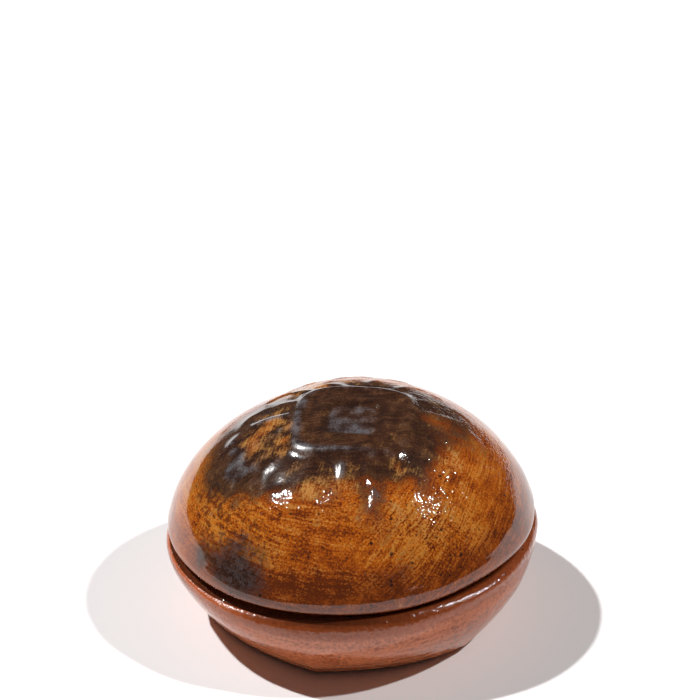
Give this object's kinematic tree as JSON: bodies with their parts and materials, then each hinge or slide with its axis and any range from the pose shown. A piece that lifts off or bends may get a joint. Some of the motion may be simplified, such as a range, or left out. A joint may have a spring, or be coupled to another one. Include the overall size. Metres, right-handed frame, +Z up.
{
  "type": "incense box",
  "caption": "Round glazed ceramic incense box: a shallow bowl with an upstanding inner ring and a lift-off domed lid whose crown carries a square basin among petals in low relief.",
  "frame": {"origin": "middle of the foot, on the surface that the box stands on", "axes": "+Z up, -Y towards the front, where the seam is lower, +X to the right seen from the front"},
  "size_m": [0.0767, 0.078, 0.0459],
  "materials": {
    "body_glaze": "glossy red-brown glaze over red clay, with bare clay on the foot and on the seat of the lid",
    "lid_glaze": "glossy amber glaze with brushed streaks, pooled nearly black over the relief on the crown"
  },
  "bodies": {
    "body": {"body": "body_glaze"},
    "lid": {"lid": "lid_glaze"}
  },
  "joints": [
    {"name": "lid_lift", "type": "slide", "parent": "body", "child": "lid", "axis": [-0.0453, -0.0419, 0.9981], "range_m": [0, 0.06]}
  ]
}
